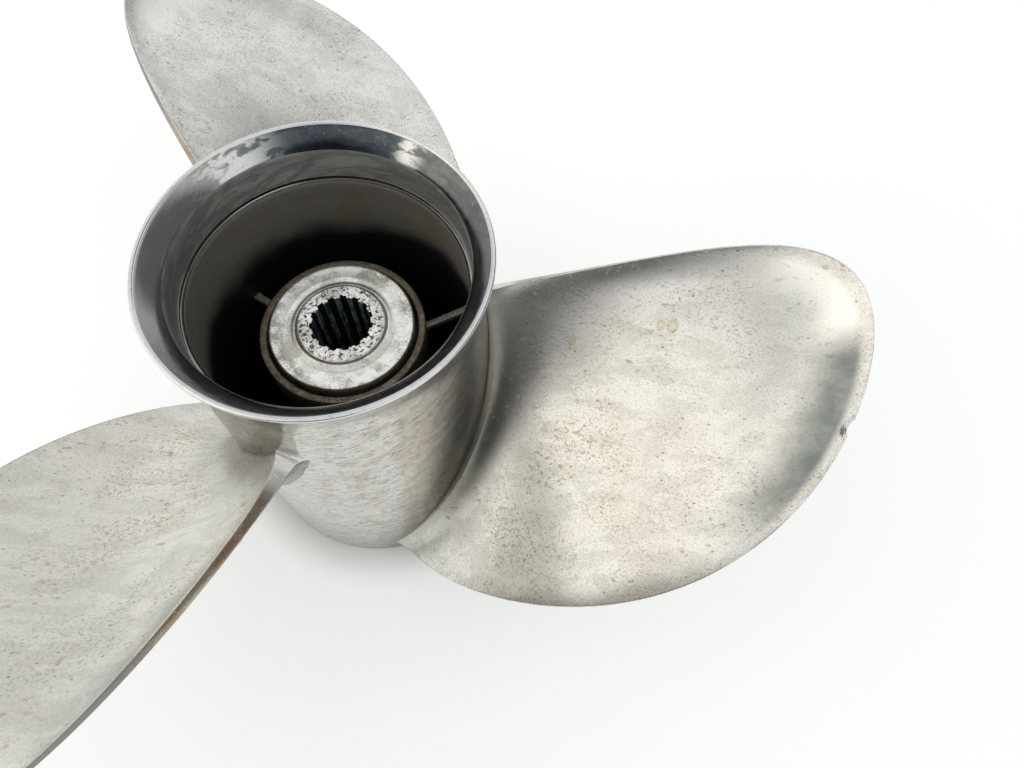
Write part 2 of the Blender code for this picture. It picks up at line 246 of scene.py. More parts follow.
class Finish(Nodes):
    """A material of nodes, whose colour is laid on in coats."""

    def __init__(self, name):
        self.material = bpy.data.materials.new(name)
        self.material.use_nodes = True
        super().__init__(self.material.node_tree)
        self.shader = self.tree.nodes["Principled BSDF"]
        self.place = self.add("ShaderNodeTexCoord").outputs["Object"]
        self.colour = None

    def stretched(self, scale, turn=0.0):
        """Coordinates turned about Z by an angle in degrees and scaled."""
        rotation = (0.0, 0.0, math.radians(turn))
        made = self.add("ShaderNodeMapping",
                        {"Vector": self.place, "Rotation": rotation, "Scale": scale})
        return made.outputs[0]

    def around(self, along, twist):
        """Coordinates that stretch marks round the shaft and let them climb by twist a radian."""
        climbed = self.maths("MULTIPLY_ADD", self.angle(), twist, self.axis("Z"))
        x, y = [self.maths("DIVIDE", self.axis(name), along) for name in "XY"]
        return self.add("ShaderNodeCombineXYZ", (x, y, climbed)).outputs[0]

    def noise(self, size, detail=3.0, rough=0.55, where=None, warp=0.0):
        """Noise from 0 to 1 with features of about one size in metres."""
        made = self.add("ShaderNodeTexNoise", {
            "Vector": where or self.place, "Scale": 1.0 / size, "Detail": detail,
            "Roughness": rough, "Distortion": warp})
        return made.outputs["Fac"]

    def pits(self, size, amount, spread, where=None):
        """Round specks about one cell apart; amount, from 0 to 1, says how many cells have one."""
        made = self.add("ShaderNodeTexVoronoi",
                        {"Vector": where or self.place, "Scale": 1.0 / size})
        chance = self.add("ShaderNodeSeparateColor", [made.outputs["Color"]])
        wanted = self.maths("LESS_THAN", chance.outputs[0], amount)
        reach = self.maths("MULTIPLY_ADD", chance.outputs[1], spread, 0.6 * spread)
        near = self.fade(made.outputs["Distance"], self.product(reach, 0.5), reach, 1.0, 0.0)
        return self.product(wanted, near)

    def dried_drop(self, centre, radius):
        """Outline of a dried drop at a centre (x, y), seen along the shaft."""
        across = self.maths("SUBTRACT", self.axis("X"), centre[0])
        along = self.maths("SUBTRACT", self.axis("Y"), centre[1])
        squares = self.maths("MULTIPLY_ADD", across, across, self.product(along, along))
        wobble = self.product(self.noise(2.5 * MM, 2.0), 0.9 * MM)
        distance = self.maths("ADD", self.maths("SQRT", squares), wobble)
        inside = self.fade(distance, radius, radius + DROP_EDGE, 1.0, 0.0)
        return self.product(inside, self.fade(distance, 0.0, radius, 0.35, 1.0))

    def axis(self, name):
        return self.add("ShaderNodeSeparateXYZ", [self.place]).outputs[name]

    def radius(self):
        """Distance from the shaft axis."""
        x, y = self.axis("X"), self.axis("Y")
        return self.maths("SQRT", self.maths("MULTIPLY_ADD", y, y, self.product(x, x)))

    def angle(self):
        """Angle about the shaft axis in radians."""
        return self.maths("ARCTAN2", self.axis("Y"), self.axis("X"))

    def span(self, name, low, high, start=0.0, end=1.0):
        """Fade of a number stored on the mesh's points."""
        stored = self.add("ShaderNodeAttribute", attribute_name=name)
        return self.fade(stored.outputs["Fac"], low, high, start, end)

    def within(self, spans):
        return self.product(*[self.span(*span) for span in spans])

    def base(self, share, first, second):
        """The colour under all coats, between two colours."""
        self.colour = self.mix(share, first, second)

    def coat(self, share, over, strength=None):
        """Lays a colour over the ones so far, by a share and a strength."""
        share = share if strength is None else self.product(share, strength)
        self.colour = self.mix(share, self.colour, over)

    def finish(self, roughness, metallic, *bumps):
        """The finished material; each bump is a height from 0 to 1 and a depth."""
        self.plug(self.shader, {
            "Base Color": self.colour, "Roughness": roughness, "Metallic": metallic})
        normal = self.shader.inputs["Normal"]
        for height, depth in reversed(bumps):
            made = self.add("ShaderNodeBump", {"Height": height, "Distance": depth})
            self.tree.links.new(made.outputs[0], normal)
            normal = made.inputs["Normal"]
        return self.material


# The ring's flare, in radians round the shaft: places of painted bright highlights, each with its
# half width, where its painted darkest reflection starts and ends, and where its painted grey
# reflection starts
FLARE_HIGHLIGHTS = ((2.36, 0.44), (1.12, 0.15))
DARK_REFLECTION_START, DARK_REFLECTION_END = (0.95, 1.20), (2.05, 2.40)
GREY_REFLECTION_START = (2.15, 2.75)

# Dried drops on a blade: centre (x, y) and radius
DROPS = (((126.0 * MM, 10.0 * MM), 2.0 * MM), ((130.5 * MM, 9.6 * MM), 2.4 * MM),
         ((92.0 * MM, 7.0 * MM), 1.8 * MM), ((84.0 * MM, -22.0 * MM), 1.5 * MM))
DROP_EDGE = 0.7 * MM

# For each blade: strength of its painted dark reflection bands, how far in from its edge rust
# reaches in mm, where its rust smears start on the noise (lower is more), and its tint, which
# paints its lighting
BLADE_WEAR_AND_LIGHT = (
    (1.0, 7.0, 0.52, (1.0, 1.0, 0.99)),
    (0.35, 15.0, 0.50, (1.12, 1.12, 1.11)),
    (0.65, 8.0, 0.43, (0.91, 0.90, 0.86)),
)
SMEAR_FADE = 0.14

# Zones of a blade, each a product of fades of the numbers stored on its points: which number,
# from where to where, and from what to what if that isn't 0 to 1. Distances are in mm.
FRECKLED = (("from_root", 10.0, 24.0), ("from_root", 40.0, 85.0, 1.0, 0.0),
            ("blade_angle", -62.0, -45.0), ("blade_angle", -12.0, 2.0, 1.0, 0.0))
# painted highlight inside the rim of the tip
TIP_HIGHLIGHT = (("from_edge", 2.0, 6.0), ("from_edge", 9.0, 20.0, 1.0, 0.0),
              ("from_root", 96.0, 118.0), ("blade_angle", -4.0, 1.5))
# painted shade at the root, deepest in its crease
ROOT_SHADE = (("from_root", 2.0, 30.0, 0.56, 0.0), ("blade_angle", -64.0, -40.0, 0.45, 1.0))
ROOT_CREASE_SHADE = (("from_root", 5.0, 14.0, 0.62, 0.0), ("blade_angle", -60.0, -35.0, 0.15, 1.0))
# painted dark reflections in bands inside the leading and the trailing edge
LEADING_DARK_REFLECTION = (("from_edge", 1.5, 4.5), ("from_edge", 6.0, 23.0, 1.0, 0.0),
                ("blade_angle", -27.0, -15.0), ("blade_angle", -3.5, 1.5, 1.0, 0.0))
TRAILING_DARK_REFLECTION = (("from_trailing", 1.0, 4.0), ("from_trailing", 5.0, 14.0, 1.0, 0.0),
                 ("from_root", 35.0, 60.0), ("from_root", 80.0, 112.0, 0.62, 0.0))
TRAILING_FLAT = ("from_trailing", 0.02, 0.30, 1.0, 0.0)
BARE_FORK = ("from_root", 9.0, 17.0, 1.0, 0.0)
BROWN_FLAT = ("from_root", 9.0, 17.0)
# painted shade on the outer part of the trailing flat
SHADED_FLAT = ("from_root", 50.0, 84.0, 0.0, 0.9)


def blade_finish(index):
    """Satin stainless with fine pits, wipe marks, dried drops and specks of rust, with a painted
    highlight, painted shade and painted dark reflections.
    """
    steel = Finish(f"weathered_stainless_blade_{index + 1}")
    reflection_band_strength, rust_reach, smear_start, tint = BLADE_WEAR_AND_LIGHT[index]
    skewed = steel.stretched((0.5, 1.0, 1.0), 35.0)
    wiped = steel.stretched((0.22, 1.0, 1.0), -38.0)
    wipes = steel.noise(8 * MM, 4.0, 0.55, wiped, 0.6)
    clouds = steel.noise(46 * MM, 2.0, 0.5)
    blotches = steel.noise(11 * MM, 4.0, 0.6, None, 0.5)
    grain = steel.noise(0.8 * MM, 3.0, 0.7)
    steel.base(steel.fade(wipes, 0.44, 0.56), (0.825, 0.815, 0.785), (0.745, 0.735, 0.705))
    # beige film in large clouds, and duller blotches
    steel.coat(steel.fade(clouds, 0.52, 0.66, 0.0, 0.35), (0.74, 0.70, 0.63))
    steel.coat(steel.fade(blotches, 0.54, 0.66, 0.0, 0.25), (0.60, 0.585, 0.55))
    # painted lighting: each blade's colour is scaled by its tint, lighter on the second blade and
    # darker on the third
    steel.colour = steel.mix(1.0, steel.colour, tint, "MULTIPLY")
    # fine pits everywhere, denser in drifts
    drifts = steel.fade(steel.noise(22 * MM, 3.0, 0.6), 0.38, 0.64)
    pits = steel.fade(steel.noise(0.85 * MM, 3.0, 0.65, skewed),
                      steel.fade(drifts, 0.0, 1.0, 0.60, 0.52),
                      steel.fade(drifts, 0.0, 1.0, 0.70, 0.62))
    larger = steel.pits(1.45 * MM, steel.fade(drifts, 0.2, 1.0, 0.05, 0.30), 0.22, skewed)
    steel.coat(steel.fade(grain, 0.44, 0.68, 0.0, 0.36), (0.36, 0.35, 0.32))
    steel.coat(pits, (0.30, 0.28, 0.235), 0.42)
    steel.coat(larger, (0.22, 0.19, 0.145), 0.70)
    for centre, size in DROPS:
        steel.coat(steel.dried_drop(centre, size), (0.52, 0.45, 0.27), 0.55)
    # rust: brown smears in a few places, thicker along the trailing edge and the rim
    smears = steel.fade(steel.noise(2.6 * MM, 2.0, 0.5, skewed), 0.60, 0.72)
    smears = steel.product(smears, steel.fade(steel.noise(26 * MM, 2.0), smear_start,
                                              smear_start + SMEAR_FADE, 0.0, 0.8))
    near_edge = steel.maths("MAXIMUM", steel.span("from_trailing", 0.0, rust_reach, 1.0, 0.0),
                            steel.span("from_edge", 0.0, 5.0, 1.0, 0.0))
    worn_edge = steel.product(near_edge, steel.fade(steel.noise(13 * MM, 3.0), 0.46, 0.62))
    patches = steel.fade(steel.noise(1.7 * MM, 4.0, 0.7), 0.52, 0.64)
    rust = steel.maths("MAXIMUM", steel.product(patches, worn_edge), smears)
    steel.coat(rust, (0.42, 0.31, 0.19), 0.72)
    freckles = steel.fade(steel.noise(1.6 * MM, 2.0, 0.5), 0.56, 0.64)
    freckles = steel.product(freckles, steel.within(FRECKLED),
                             steel.fade(drifts, 0.0, 0.7, 0.25, 1.0))
    steel.coat(freckles, (0.47, 0.35, 0.20), 0.75)
    # painted highlight inside the rim of the tip, painted shade at the root and in its crease, and
    # painted dark reflections in bands inside both edges
    uneven = steel.fade(blotches, 0.2, 0.6, 0.80, 1.0)
    steel.coat(steel.within(TIP_HIGHLIGHT), (0.99, 0.985, 0.955), 0.8)
    steel.coat(steel.product(steel.within(ROOT_SHADE), uneven), (0.20, 0.195, 0.165))
    steel.coat(steel.within(ROOT_CREASE_SHADE), (0.13, 0.12, 0.095))
    uneven = steel.fade(blotches, 0.3, 0.6, 0.80, 1.0)
    steel.coat(steel.product(steel.within(LEADING_DARK_REFLECTION), uneven), (0.20, 0.22, 0.215), reflection_band_strength)
    steel.coat(steel.within(TRAILING_DARK_REFLECTION), (0.27, 0.285, 0.29), reflection_band_strength)
    # the flat of the trailing edge: bare at the root, brown with scratches, then painted dark shade
    # further out
    flat = steel.span(*TRAILING_FLAT)
    steel.coat(flat, (0.84, 0.83, 0.80), 0.9)
    scratches = steel.fade(steel.noise(0.9 * MM, 3.0, 0.6), 0.45, 0.65, 0.0, 0.5)
    stain = steel.fade(steel.noise(14 * MM, 3.0), 0.42, 0.58)
    browned = steel.mix(stain, (0.46, 0.37, 0.27), (0.39, 0.25, 0.14))
    browned = steel.mix(scratches, browned, (0.17, 0.12, 0.08))
    browned = steel.mix(steel.span(*SHADED_FLAT), browned, (0.15, 0.16, 0.17))
    steel.coat(steel.product(flat, steel.span(*BROWN_FLAT)), browned, 0.88)
    rough = steel.maths("MULTIPLY_ADD", rust, 0.25, steel.follow(wipes, 0.20, 0.27))
    metallic = steel.maths("SUBTRACT", 0.88, steel.product(rust, 0.5))
    bare = steel.product(flat, steel.span(*BARE_FORK), 0.45)
    metallic = steel.maths("SUBTRACT", metallic, bare)
    return steel.finish(rough, metallic, (grain, 0.03 * MM), (larger, -0.05 * MM))


def barrel_finish():
    """Satin stainless with short pitted marks round the barrel, dirty and painted darker with shade
    beside the blades.
    """
    steel = Finish("weathered_stainless_barrel")
    place = steel.around(2.6, -11 * MM)
    marks = steel.noise(0.90 * MM, 3.0, 0.62, place, 0.7)
    waves = steel.noise(3.6 * MM, 3.0, 0.6, place, 0.5)
    clouds = steel.noise(24 * MM, 3.0)
    steel.base(steel.fade(waves, 0.38, 0.62), (0.70, 0.69, 0.665), (0.60, 0.585, 0.55))
    stains = steel.product(steel.fade(waves, 0.50, 0.62), steel.fade(clouds, 0.40, 0.62))
    steel.coat(stains, (0.50, 0.42, 0.31), 0.55)
    lines = steel.fade(marks, 0.55, 0.66)
    steel.coat(lines, (0.25, 0.235, 0.20), 0.62)
    pits = steel.pits(1.5 * MM, steel.fade(clouds, 0.35, 0.65, 0.12, 0.40), 0.26, place)
    steel.coat(pits, (0.16, 0.145, 0.12), 0.65)
    # grime and painted shade on the quarter of the barrel in front of each blade's face
    turn = steel.angle()
    climb = steel.maths("MULTIPLY_ADD", steel.axis("Z"), -0.4 / HELIX_RISE, turn)
    phase = steel.maths("ADD", climb, GRIME_SHADE_PHASE)
    part = steel.maths("FLOORED_MODULO", phase, math.tau / BLADE_COUNT)
    grime_and_shade = steel.product(steel.fade(part, *GRIME_SHADE_START), steel.fade(part, *GRIME_SHADE_END, 1.0, 0.0))
    grime_and_shade = steel.product(grime_and_shade, steel.fade(waves, 0.3, 0.6, 0.66, 0.90))
    steel.coat(grime_and_shade, (0.20, 0.185, 0.145))
    rough = steel.follow(clouds, 0.13, 0.20)
    return steel.finish(rough, 0.95, (waves, 0.10 * MM), (lines, -0.05 * MM))


def polished_finish():
    """Mirror-polished stainless with faint water spots and fine wear."""
    steel = Finish("polished_stainless_ring")
    spots = steel.noise(1.3 * MM, 4.0, 0.65)
    film = steel.noise(11 * MM, 3.0)
    steel.base(steel.fade(spots, 0.54, 0.70, 0.0, 0.55), (0.76, 0.765, 0.77), (0.50, 0.49, 0.47))
    steel.coat(steel.fade(film, 0.52, 0.72, 0.0, 0.35), (0.62, 0.56, 0.46))
    rough = steel.fade(film, 0.3, 0.75, 0.06, 0.17)
    return steel.finish(rough, 0.97, (spots, 0.02 * MM))


def flare_finish():
    """Mirror flare of the ring, painted dark with reflections, greyer on one side, and with painted
    bright highlights in two places.
    """
    steel = Finish("stainless_flare_painted_reflections")
    turn = steel.angle()
    smears = steel.noise(2.6 * MM, 4.0, 0.6, steel.around(3.0, 4 * MM), 0.7)
    spots = steel.noise(0.9 * MM, 3.0, 0.6)
    # painted reflections: the flare's colour is painted dark, following the angle round the shaft
    steel.base(steel.fade(smears, 0.38, 0.62), (0.125, 0.135, 0.14), (0.19, 0.195, 0.195))
    # painted grey reflection on one side
    steel.coat(steel.fade(steel.maths("ABSOLUTE", turn), *GREY_REFLECTION_START), (0.36, 0.36, 0.345))
    # painted darkest reflection in one span
    dark = steel.product(steel.fade(turn, *DARK_REFLECTION_START), steel.fade(turn, *DARK_REFLECTION_END, 1.0, 0.0),
                         steel.fade(smears, 0.35, 0.65, 1.0, 0.75))
    steel.coat(dark, (0.055, 0.070, 0.085))
    # painted bright highlights in two places
    for centre, width in FLARE_HIGHLIGHTS:
        off = steel.maths("ABSOLUTE", steel.maths("SUBTRACT", turn, centre))
        worn = steel.product(steel.fade(off, 0.1 * width, width, 1.0, 0.0),
                             steel.fade(smears, 0.42, 0.56, 0.15, 1.0), 0.85)
        steel.coat(worn, (0.84, 0.84, 0.82))
    steel.coat(steel.fade(spots, 0.60, 0.70, 0.0, 0.35), (0.42, 0.42, 0.40))
    return steel.finish(steel.follow(smears, 0.12, 0.22), 0.95, (spots, 0.02 * MM))


def mouth_finish():
    """Dull grey stainless in the ring's straight mouth, with smears that run round it."""
    steel = Finish("smeared_stainless_mouth")
    place = steel.around(4.0, 9 * MM)
    smears = steel.noise(4.0 * MM, 4.0, 0.6, place, 0.8)
    spots = steel.noise(0.8 * MM, 3.0, 0.6)
    steel.base(steel.fade(smears, 0.36, 0.64), (0.36, 0.36, 0.35), (0.20, 0.21, 0.215))
    steel.coat(steel.fade(smears, 0.58, 0.70, 0.0, 0.7), (0.50, 0.45, 0.36))
    steel.coat(steel.fade(spots, 0.62, 0.72, 0.0, 0.35), (0.50, 0.50, 0.48))
    return steel.finish(steel.follow(smears, 0.30, 0.42), 0.45, (spots, 0.03 * MM))


def bore_finish():
    """Dull brown-grey casting inside the barrel, painted near black with soot and shade beyond an
    uneven line.
    """
    steel = Finish("sooty_shaded_stainless_bore")
    grain = steel.noise(1.2 * MM, 4.0, 0.65)
    patches = steel.noise(12 * MM, 3.0)
    uneven = steel.maths("MULTIPLY_ADD", steel.noise(26 * MM, 2.0), 16 * MM, steel.axis("Z"))
    edge = level(SOOT_SHADE_DEPTH) + 8 * MM
    # soot and painted shade deep in the bore
    soot_and_shade = steel.fade(uneven, edge - 9 * MM, edge + 5 * MM, 1.0, 0.0)
    steel.base(grain, (0.36, 0.34, 0.295), (0.23, 0.215, 0.185))
    steel.coat(steel.fade(patches, 0.45, 0.65, 0.0, 0.5), (0.27, 0.235, 0.18))
    steel.coat(steel.pits(2.2 * MM, 0.22, 0.2), (0.42, 0.34, 0.24), 0.6)
    steel.coat(soot_and_shade, (0.012, 0.015, 0.018))
    return steel.finish(steel.follow(grain, 0.45, 0.60), 0.35, (grain, 0.10 * MM))


def rusty_finish():
    """Stainless under a brown film of rust, for the inner tube."""
    steel = Finish("rusty_stainless_tube")
    grain = steel.noise(0.7 * MM, 5.0, 0.75)
    patches = steel.noise(5 * MM, 3.0)
    steel.base(steel.fade(grain, 0.36, 0.62), (0.24, 0.205, 0.145), (0.075, 0.06, 0.042))
    steel.coat(steel.fade(patches, 0.5, 0.7, 0.0, 0.5), (0.30, 0.27, 0.215))
    # soot and painted shade deeper inside the tube
    edge = level(TUBE_DEPTH)
    soot_and_shade = steel.fade(steel.axis("Z"), edge - 22 * MM, edge - 3 * MM, 1.0, 0.0)
    steel.coat(soot_and_shade, (0.012, 0.012, 0.013))
    return steel.finish(steel.follow(grain, 0.42, 0.62), 0.6, (grain, 0.18 * MM))


def rib_finish():
    """Dull cast stainless, for the ribs; forward of their clean aft edges they are painted near
    black with soot and shade.
    """
    steel = Finish("dark_cast_stainless_rib")
    grain = steel.noise(1.2 * MM, 4.0, 0.6)
    edge = level(RIB_AFT_DEPTH)
    # soot and painted shade forward of the aft edge
    soot_and_shade = steel.fade(steel.axis("Z"), edge - 3.5 * MM, edge - 1.0 * MM, 1.0, 0.0)
    steel.base(steel.fade(grain, 0.35, 0.65), (0.46, 0.43, 0.37), (0.26, 0.24, 0.20))
    steel.coat(soot_and_shade, (0.016, 0.016, 0.017))
    return steel.finish(0.5, 0.5, (grain, 0.15 * MM))


def plated_finish():
    """Matte silver plating with scuffs, for the end disc; deeply pitted near the bore."""
    steel = Finish("silvery_plated_steel_disc")
    scuffs = steel.noise(6 * MM, 6.0, 0.72, None, 0.5)
    patches = steel.noise(12 * MM, 4.0, 0.6, None, 0.4)
    grain = steel.noise(0.55 * MM, 3.0, 0.6)
    radius = steel.radius()
    chips = steel.noise(1.5 * MM, 3.0, 0.55, None, 0.6)
    pits = steel.product(steel.fade(chips, 0.56, 0.595), steel.fade(radius, *DISC_PITTED, 1.0, 0.0))
    steel.base(steel.fade(scuffs, 0.42, 0.58), (0.97, 0.96, 0.925), (0.80, 0.79, 0.74))
    steel.coat(steel.fade(patches, 0.50, 0.60, 0.0, 0.70), (0.50, 0.485, 0.44))
    flecks = steel.product(steel.fade(grain, 0.52, 0.62),
                           steel.fade(patches, 0.38, 0.58, 0.25, 0.85))
    steel.coat(flecks, (0.27, 0.26, 0.235))
    rim = steel.product(steel.fade(radius, *DISC_WORN), steel.fade(scuffs, 0.50, 0.60))
    steel.coat(rim, (0.30, 0.28, 0.24), 0.70)
    # painted shade in and beside the turned groove
    groove = steel.product(steel.fade(radius, 17.4 * MM, 19.2 * MM),
                           steel.fade(radius, 19.8 * MM, 22 * MM, 0.4, 0.0))
    steel.coat(groove, (0.50, 0.48, 0.43))
    steel.coat(pits, (0.05, 0.045, 0.04), 0.92)
    rough = steel.follow(scuffs, 0.27, 0.38)
    return steel.finish(rough, 0.95, (grain, 0.04 * MM), (pits, -0.30 * MM))


def oxide_finish():
    """Oxidised steel of the splined bore: blue-grey worn teeth between dark grooves."""
    steel = Finish("oxidised_spline_steel_bore")
    streaks = steel.noise(1.3 * MM, 4.0, 0.65, steel.stretched((1.0, 1.0, 0.16)))
    patches = steel.noise(3.5 * MM, 3.0)
    tops = steel.fade(steel.radius(), SPLINE_TOP_RADIUS + 0.1 * MM,
                      SPLINE_TOP_RADIUS + 0.5 * MM, 1.0, 0.0)
    worn = steel.product(tops, steel.fade(streaks, 0.35, 0.60),
                         steel.fade(patches, 0.35, 0.60, 0.35, 1.0))
    steel.base(worn, (0.018, 0.026, 0.030), (0.30, 0.35, 0.37))
    return steel.finish(steel.follow(streaks, 0.32, 0.5), 0.45, (streaks, 0.1 * MM))


def rubber_finish():
    """Matte black rubber."""
    rubber = Finish("black_rubber_cushion")
    grain = rubber.noise(1.1 * MM, 3.0)
    rubber.base(grain, (0.010, 0.010, 0.010), (0.020, 0.019, 0.018))
    return rubber.finish(rubber.follow(grain, 0.65, 0.85), 0.0, (grain, 0.1 * MM))


def floor_finish():
    """Plain, nearly white floor, with painted shade beneath the barrel and a painted shadow round
    it where its glow fades.
    """
    paper = Finish("pale_floor")
    tone = paper.noise(0.4, 2.0)
    paper.base(tone, (0.82, 0.83, 0.83), (0.84, 0.85, 0.85))
    # painted shade on the floor beneath the barrel
    painted_shade_beneath = paper.fade(paper.radius(), FRONT_RADIUS - BARREL_WALL, FRONT_RADIUS, 1.0, 0.0)
    paper.coat(painted_shade_beneath, (0.02, 0.02, 0.02))
    # painted shadow: the floor's glow fades out towards the barrel
    outside = paper.fade(paper.radius(), FRONT_RADIUS - BARREL_WALL, FRONT_RADIUS + 22 * MM)
    paper.plug(paper.shader, {"Emission Color": (0.98, 1.0, 1.0),
                              "Emission Strength": paper.product(outside, FLOOR_GLOW)})
    return paper.finish(0.75, 0.0)


# ---------------------------------------------------------------- geometry helpers

def level(depth):
    return RIM_HEIGHT - depth


def between(first, last, share):
    """The value a share of the way from the first to the last."""
    return first + (last - first) * share


def clamp(value):
    return min(1.0, max(0.0, value))


def smooth(low, high, value):
    share = clamp((value - low) / (high - low))
    return share * share * (3.0 - 2.0 * share)


def shares(steps):
    """Even shares from 0 to 1."""
    return [step / steps for step in range(steps + 1)]


def polar(radius, turn, height=0.0):
    """The point at a radius and an angle in radians round the shaft."""
    return Vector((radius * math.cos(turn), radius * math.sin(turn), height))


def arc(centre, radius, start, end, steps):
    """Points on an arc of a profile, as (radius, depth); the angle turns from outward to aft."""
    turns = [math.radians(between(start, end, share)) for share in shares(steps)]
    return [(centre[0] + radius * math.cos(turn), centre[1] - radius * math.sin(turn))
            for turn in turns]


def rounded(profile, radius, steps):
    """Rounds every corner of a closed profile with a small arc-like curve."""
    points = []
    for index, corner in enumerate(profile):
        here = Vector(corner)
        before = Vector(profile[index - 1]) - here
        after = Vector(profile[(index + 1) % len(profile)]) - here
        start = here + before.normalized() * radius
        end = here + after.normalized() * radius
        for share in shares(steps):
            left = 1.0 - share
            points.append(start * left ** 2 + here * 2 * share * left + end * share ** 2)
    return points


def skin(shape, rings, slots=None):
    """Joins each ring of vertices to the next with quads."""
    count = len(rings[0])
    for index, (ring, after) in enumerate(zip(rings, rings[1:])):
        for step in range(count):
            other = (step + 1) % count
            face = shape.faces.new((ring[step], ring[other], after[other], after[step]))
            face.material_index = slots[index] if slots else 0


def turned(profile, slots=None):
    """A ring turned about Z from a closed profile of (radius, depth)."""
    shape = bmesh.new()
    turns = [math.tau * step / TURNED_STEPS for step in range(TURNED_STEPS)]
    rings = [[shape.verts.new(polar(radius, turn, level(depth))) for turn in turns]
             for radius, depth in profile]
    skin(shape, rings + rings[:1], slots)
    return shape


def make_object(name, shape, finishes):
    mesh = bpy.data.meshes.new(name)
    shape.to_mesh(mesh)
    shape.free()
    for finish in finishes:
        mesh.materials.append(finish)
    made = bpy.data.objects.new(name, mesh)
    bpy.context.scene.collection.objects.link(made)
    return made


def add_piece(name, shape, finishes, body, node, sharp=42.0):
    """Makes a shape a piece that stands for its CAD node and rides on its body."""
    bmesh.ops.recalc_face_normals(shape, faces=shape.faces)
    piece = make_object(name, shape, finishes)
    piece.data.shade_smooth()
    piece.data.set_sharp_from_angle(angle=math.radians(sharp))
    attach(piece, body)
    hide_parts(node)


# ---------------------------------------------------------------- hub

def barrel_radius(depth):
    """Outer radius of the barrel: it narrows gently from the forward end to the waist."""
    share = clamp((HUB_LENGTH - depth) / (HUB_LENGTH - RING_DEPTH))
    return between(FRONT_RADIUS, WAIST_RADIUS, share ** BARREL_TAPER)


def ring_radius(depth):
    """Outer radius of the flared ring, from the lip down to the waist."""
    share = clamp(1.0 - (depth - RING_TOP) / (RING_DEPTH - RING_TOP))
    return between(WAIST_RADIUS, RIM_RADIUS - RING_INSET, share ** RING_TAPER)


def flare_radius(depth):
    """Inner radius of the ring: a straight mouth that flares out to the rim."""
    share = max(0.0, (FLARE_DEPTH - depth) / FLARE_DEPTH)
    return between(MOUTH_RADIUS, RIM_RADIUS - FLARE_INSET, share ** FLARE_CURVE)


def make_ring(finishes):
    """Flared aft ring: rolled lip, satin outer neck, mirror flare and dull straight mouth."""
    satin_neck, polished_lip, dull_mouth, dark_flare = range(4)
    lip = arc((RIM_RADIUS - LIP_RADIUS, LIP_RADIUS), LIP_RADIUS, LIP_START, LIP_END, 14)
    first = LIP_RADIUS * (1.0 - math.sin(math.radians(LIP_END)))
    neck = [between(first, RING_DEPTH, share) for share in shares(16)[1:]]
    mouth = [between(RING_DEPTH, FLARE_DEPTH, share) for share in shares(5)]
    flare = [between(FLARE_DEPTH, LIP_RADIUS / 2, share) for share in shares(18)[1:]]
    profile = lip + [(ring_radius(depth), depth) for depth in neck]
    profile += [(MOUTH_RADIUS, depth) for depth in mouth]
    profile += [(flare_radius(depth), depth) for depth in flare]
    slots = [polished_lip] * len(lip) + [satin_neck] * len(neck)
    slots += [dull_mouth] * (len(mouth) + 3) + [dark_flare] * (len(flare) - 4) + [polished_lip]
    add_piece("flared_ring", turned(profile, slots), finishes,
              "propeller_body", "diffuser_ring")


def make_barrel(finishes):
    """Barrel shell with a chamfered inner ledge under the ring and a rounded forward end."""
    satin_outside, dull_bore, polished_ledge = range(3)
    outside = [between(RING_DEPTH, HUB_LENGTH - FRONT_ROUNDING, share) for share in shares(60)]
    bore = [between(HUB_LENGTH - FRONT_CHAMFER, BORE_DEPTH, share) for share in shares(24)]
    profile = [(barrel_radius(depth), depth) for depth in outside]
    profile += [(FRONT_RADIUS - FRONT_ROUNDING * 0.3, HUB_LENGTH - FRONT_ROUNDING * 0.3),
                (FRONT_RADIUS - FRONT_ROUNDING, HUB_LENGTH),
                (FRONT_RADIUS - BARREL_WALL + FRONT_CHAMFER, HUB_LENGTH)]
    profile += [(barrel_radius(depth) - BARREL_WALL, depth) for depth in bore]
    profile += [(LEDGE_RADIUS + 0.1 * MM, LEDGE_DEPTH + 3 * MM),
                (LEDGE_RADIUS, LEDGE_DEPTH + 0.8 * MM),
                (LEDGE_RADIUS + 0.5 * MM, LEDGE_DEPTH), (MOUTH_RADIUS + 1.5 * MM, LEDGE_DEPTH)]
    slots = [satin_outside] * (len(outside) + 2) + [dull_bore] * (len(bore) + 2)
    slots += [polished_ledge] * 2 + [dull_bore]
    add_piece("barrel_shell", turned(profile, slots), finishes,
              "propeller_body", "hub_barrel")


def make_tube(finish):
    """Inner tube with a slightly worn, rounded aft edge and its forward seat."""
    bore = TUBE_RADIUS - TUBE_WALL
    profile = rounded([
        (TUBE_RADIUS, TUBE_DEPTH), (TUBE_RADIUS, TUBE_FRONT_DEPTH),
        (TUBE_SEAT_RADIUS, TUBE_FRONT_DEPTH), (TUBE_SEAT_RADIUS, TUBE_SEAT_DEPTH),
        (bore, TUBE_SEAT_DEPTH), (bore, TUBE_DEPTH),
    ], TUBE_ROUNDING, 5)
    add_piece("inner_tube", turned(profile), (finish,),
              "propeller_body", "inner_hub_tube")


